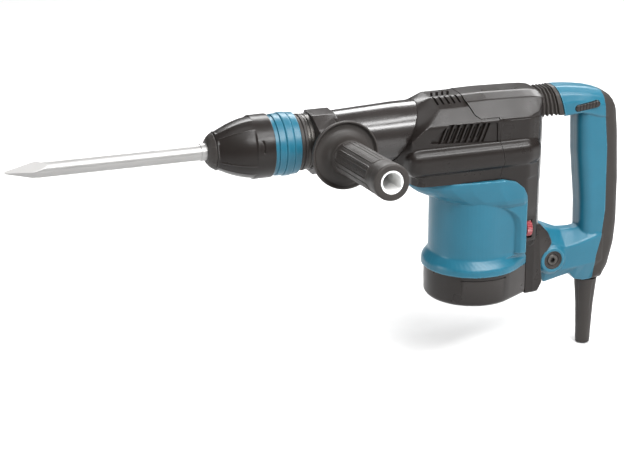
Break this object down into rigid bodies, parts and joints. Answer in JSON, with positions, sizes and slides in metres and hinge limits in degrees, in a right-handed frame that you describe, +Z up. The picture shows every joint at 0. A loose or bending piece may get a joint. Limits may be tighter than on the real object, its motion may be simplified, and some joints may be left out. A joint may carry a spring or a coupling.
{
  "type": "demolition hammer",
  "caption": "Corded hand-held demolition hammer with a bull point, sliding chuck, clamp-on side grip, upright motor and a sprung D-shaped rear handle.",
  "frame": {"origin": "centre of the chuck mouth, on the tool axis", "axes": "+X runs back along the tool axis from the chuck to the rear handle, +Z up away from the motor, -Y to the operator's left, where the side grip points"},
  "size_m": [0.678, 0.2609, 0.3118],
  "materials": {
    "black_rubber": "matte moulded rubber",
    "black_plastic": "fine-textured charcoal glass-filled nylon",
    "grey_casting": "dark grey painted magnesium casting, satin",
    "teal_plastic": "teal-blue moulded nylon, satin",
    "tool_steel": "bright ground tool steel",
    "dark_steel": "hardened, oil-blackened steel",
    "bright_steel": "ground steel",
    "aluminium": "die-cast aluminium",
    "copper": "enamelled copper winding and copper bars",
    "brass": "stamped brass",
    "carbon": "pressed carbon",
    "red_plastic": "red ribbed plastic",
    "white_plastic": "white moulded plastic",
    "fan_plastic": "black moulded fan",
    "board": "potted circuit board"
  },
  "bodies": {
    "housing": {"barrel_housing": "grey_casting", "neck_ring": "black_rubber", "holder_bearing": "bright_steel", "front_oil_seal": "black_rubber", "bolt_guide_ring": "dark_steel", "cylinder": "bright_steel", "main_housing": "black_plastic", "top_cover": "black_plastic", "rear_cover": "black_plastic", "gear_housing": "aluminium", "crank_bearing": "bright_steel", "motor_bearings": "bright_steel", "motor_housing": "teal_plastic", "stator_core": "dark_steel", "field_coils": "copper", "fan_baffle": "black_plastic", "carbon_brushes": "carbon", "brush_holders": "brass", "base_cover": "black_plastic", "base_screws": "dark_steel", "speed_controller": "board", "pivot_pin": "dark_steel", "bellows": "black_rubber", "damper_spring": "dark_steel"},
    "tool_holder": {"tool_holder": "dark_steel", "front_cap": "black_rubber", "lock_rollers": "bright_steel", "chuck_spring": "bright_steel"},
    "release_cover": {"release_cover": "black_plastic", "release_sleeve": "dark_steel"},
    "change_ring": {"change_ring": "teal_plastic"},
    "chisel": {"chisel": "tool_steel"},
    "impact_bolt": {"impact_bolt": "dark_steel"},
    "striker": {"striker": "bright_steel", "striker_seal": "black_rubber"},
    "piston": {"piston": "aluminium", "piston_seal": "black_rubber", "wrist_pin": "bright_steel"},
    "connecting_rod": {"connecting_rod": "aluminium"},
    "crank": {"crankshaft": "dark_steel", "crank_gear": "bright_steel"},
    "armature": {"armature_shaft": "bright_steel", "armature_core": "dark_steel", "commutator": "copper", "cooling_fan": "fan_plastic"},
    "grip_clamp": {"grip_saddle": "black_plastic", "clamp_band": "bright_steel", "clamp_stud": "bright_steel"},
    "side_grip": {"grip_flange": "black_rubber", "grip_sleeve": "black_rubber", "grip_liner": "white_plastic"},
    "rear_handle": {"handle_left": "teal_plastic", "handle_right": "teal_plastic", "handle_pad": "black_rubber", "handle_screws": "dark_steel", "pivot_bushings": "black_rubber", "switch_body": "black_plastic", "cord_guard": "black_rubber"},
    "switch_lever": {"switch_lever": "black_plastic"},
    "speed_dial": {"speed_dial": "red_plastic"}
  },
  "joints": [
    {"name": "holder_index", "type": "hinge", "parent": "housing", "child": "tool_holder", "pos_m": [0.05, 0, 0], "axis": [1, 0, 0], "continuous": true},
    {"name": "release_slide", "type": "slide", "parent": "tool_holder", "child": "release_cover", "axis": [1, 0, 0], "range_m": [0, 0.004], "stiffness_N_per_m": 1500, "springref_m": -0.008, "deforming": ["chuck_spring"]},
    {"name": "change_ring_slide", "type": "slide", "parent": "tool_holder", "child": "change_ring", "axis": [1, 0, 0], "range_m": [0, 0.004]},
    {"name": "chisel_slide", "type": "slide", "parent": "tool_holder", "child": "chisel", "axis": [-1, 0, 0], "range_m": [0, 0.025]},
    {"name": "bolt_slide", "type": "slide", "parent": "housing", "child": "impact_bolt", "axis": [-1, 0, 0], "range_m": [0, 0.0125]},
    {"name": "piston_slide", "type": "slide", "parent": "housing", "child": "piston", "axis": [1, 0, 0], "range_m": [0, 0.026]},
    {"name": "striker_slide", "type": "slide", "parent": "housing", "child": "striker", "axis": [1, 0, 0], "range_m": [0, 0.011]},
    {"name": "rod_swing", "type": "hinge", "parent": "piston", "child": "connecting_rod", "pos_m": [0.20112, 0, 0], "axis": [0, 0, 1], "range_deg": [-18, 18]},
    {"name": "armature_spin", "type": "hinge", "parent": "housing", "child": "armature", "pos_m": [0.298, 0, -0.1], "axis": [0, 0, 1], "continuous": true},
    {"name": "crank_spin", "type": "hinge", "parent": "housing", "child": "crank", "pos_m": [0.25612, 0, -0.025], "axis": [0, 0, 1], "continuous": true},
    {"name": "clamp_swing", "type": "hinge", "parent": "housing", "child": "grip_clamp", "pos_m": [0.1227, 0, 0], "axis": [1, 0, 0], "continuous": true},
    {"name": "grip_turn", "type": "hinge", "parent": "grip_clamp", "child": "side_grip", "pos_m": [0.1227, -0.09962, 0.00872], "axis": [0, -0.9962, 0.0872], "range_deg": [-720, 0]},
    {"name": "handle_swing", "type": "hinge", "parent": "housing", "child": "rear_handle", "pos_m": [0.384, 0, -0.157], "axis": [0, 1, 0], "range_deg": [-1.2, 1.2], "stiffness_Nm_per_rad": 400, "deforming": ["bellows", "damper_spring"]},
    {"name": "switch_slide", "type": "slide", "parent": "rear_handle", "child": "switch_lever", "axis": [0, 1, 0], "range_m": [0, 0.004]},
    {"name": "dial_turn", "type": "hinge", "parent": "housing", "child": "speed_dial", "pos_m": [0.3475, -0.0335, -0.112], "axis": [1, 0, 0], "range_deg": [-120, 120]}
  ],
  "couplings": [
    {"joint": "crank_spin", "follows": "armature_spin", "ratio": -0.19643},
    {"joint": "bolt_slide", "follows": "chisel_slide", "ratio": 0.5},
    {"joint": "striker_slide", "follows": "piston_slide", "ratio": 0.423}
  ]
}
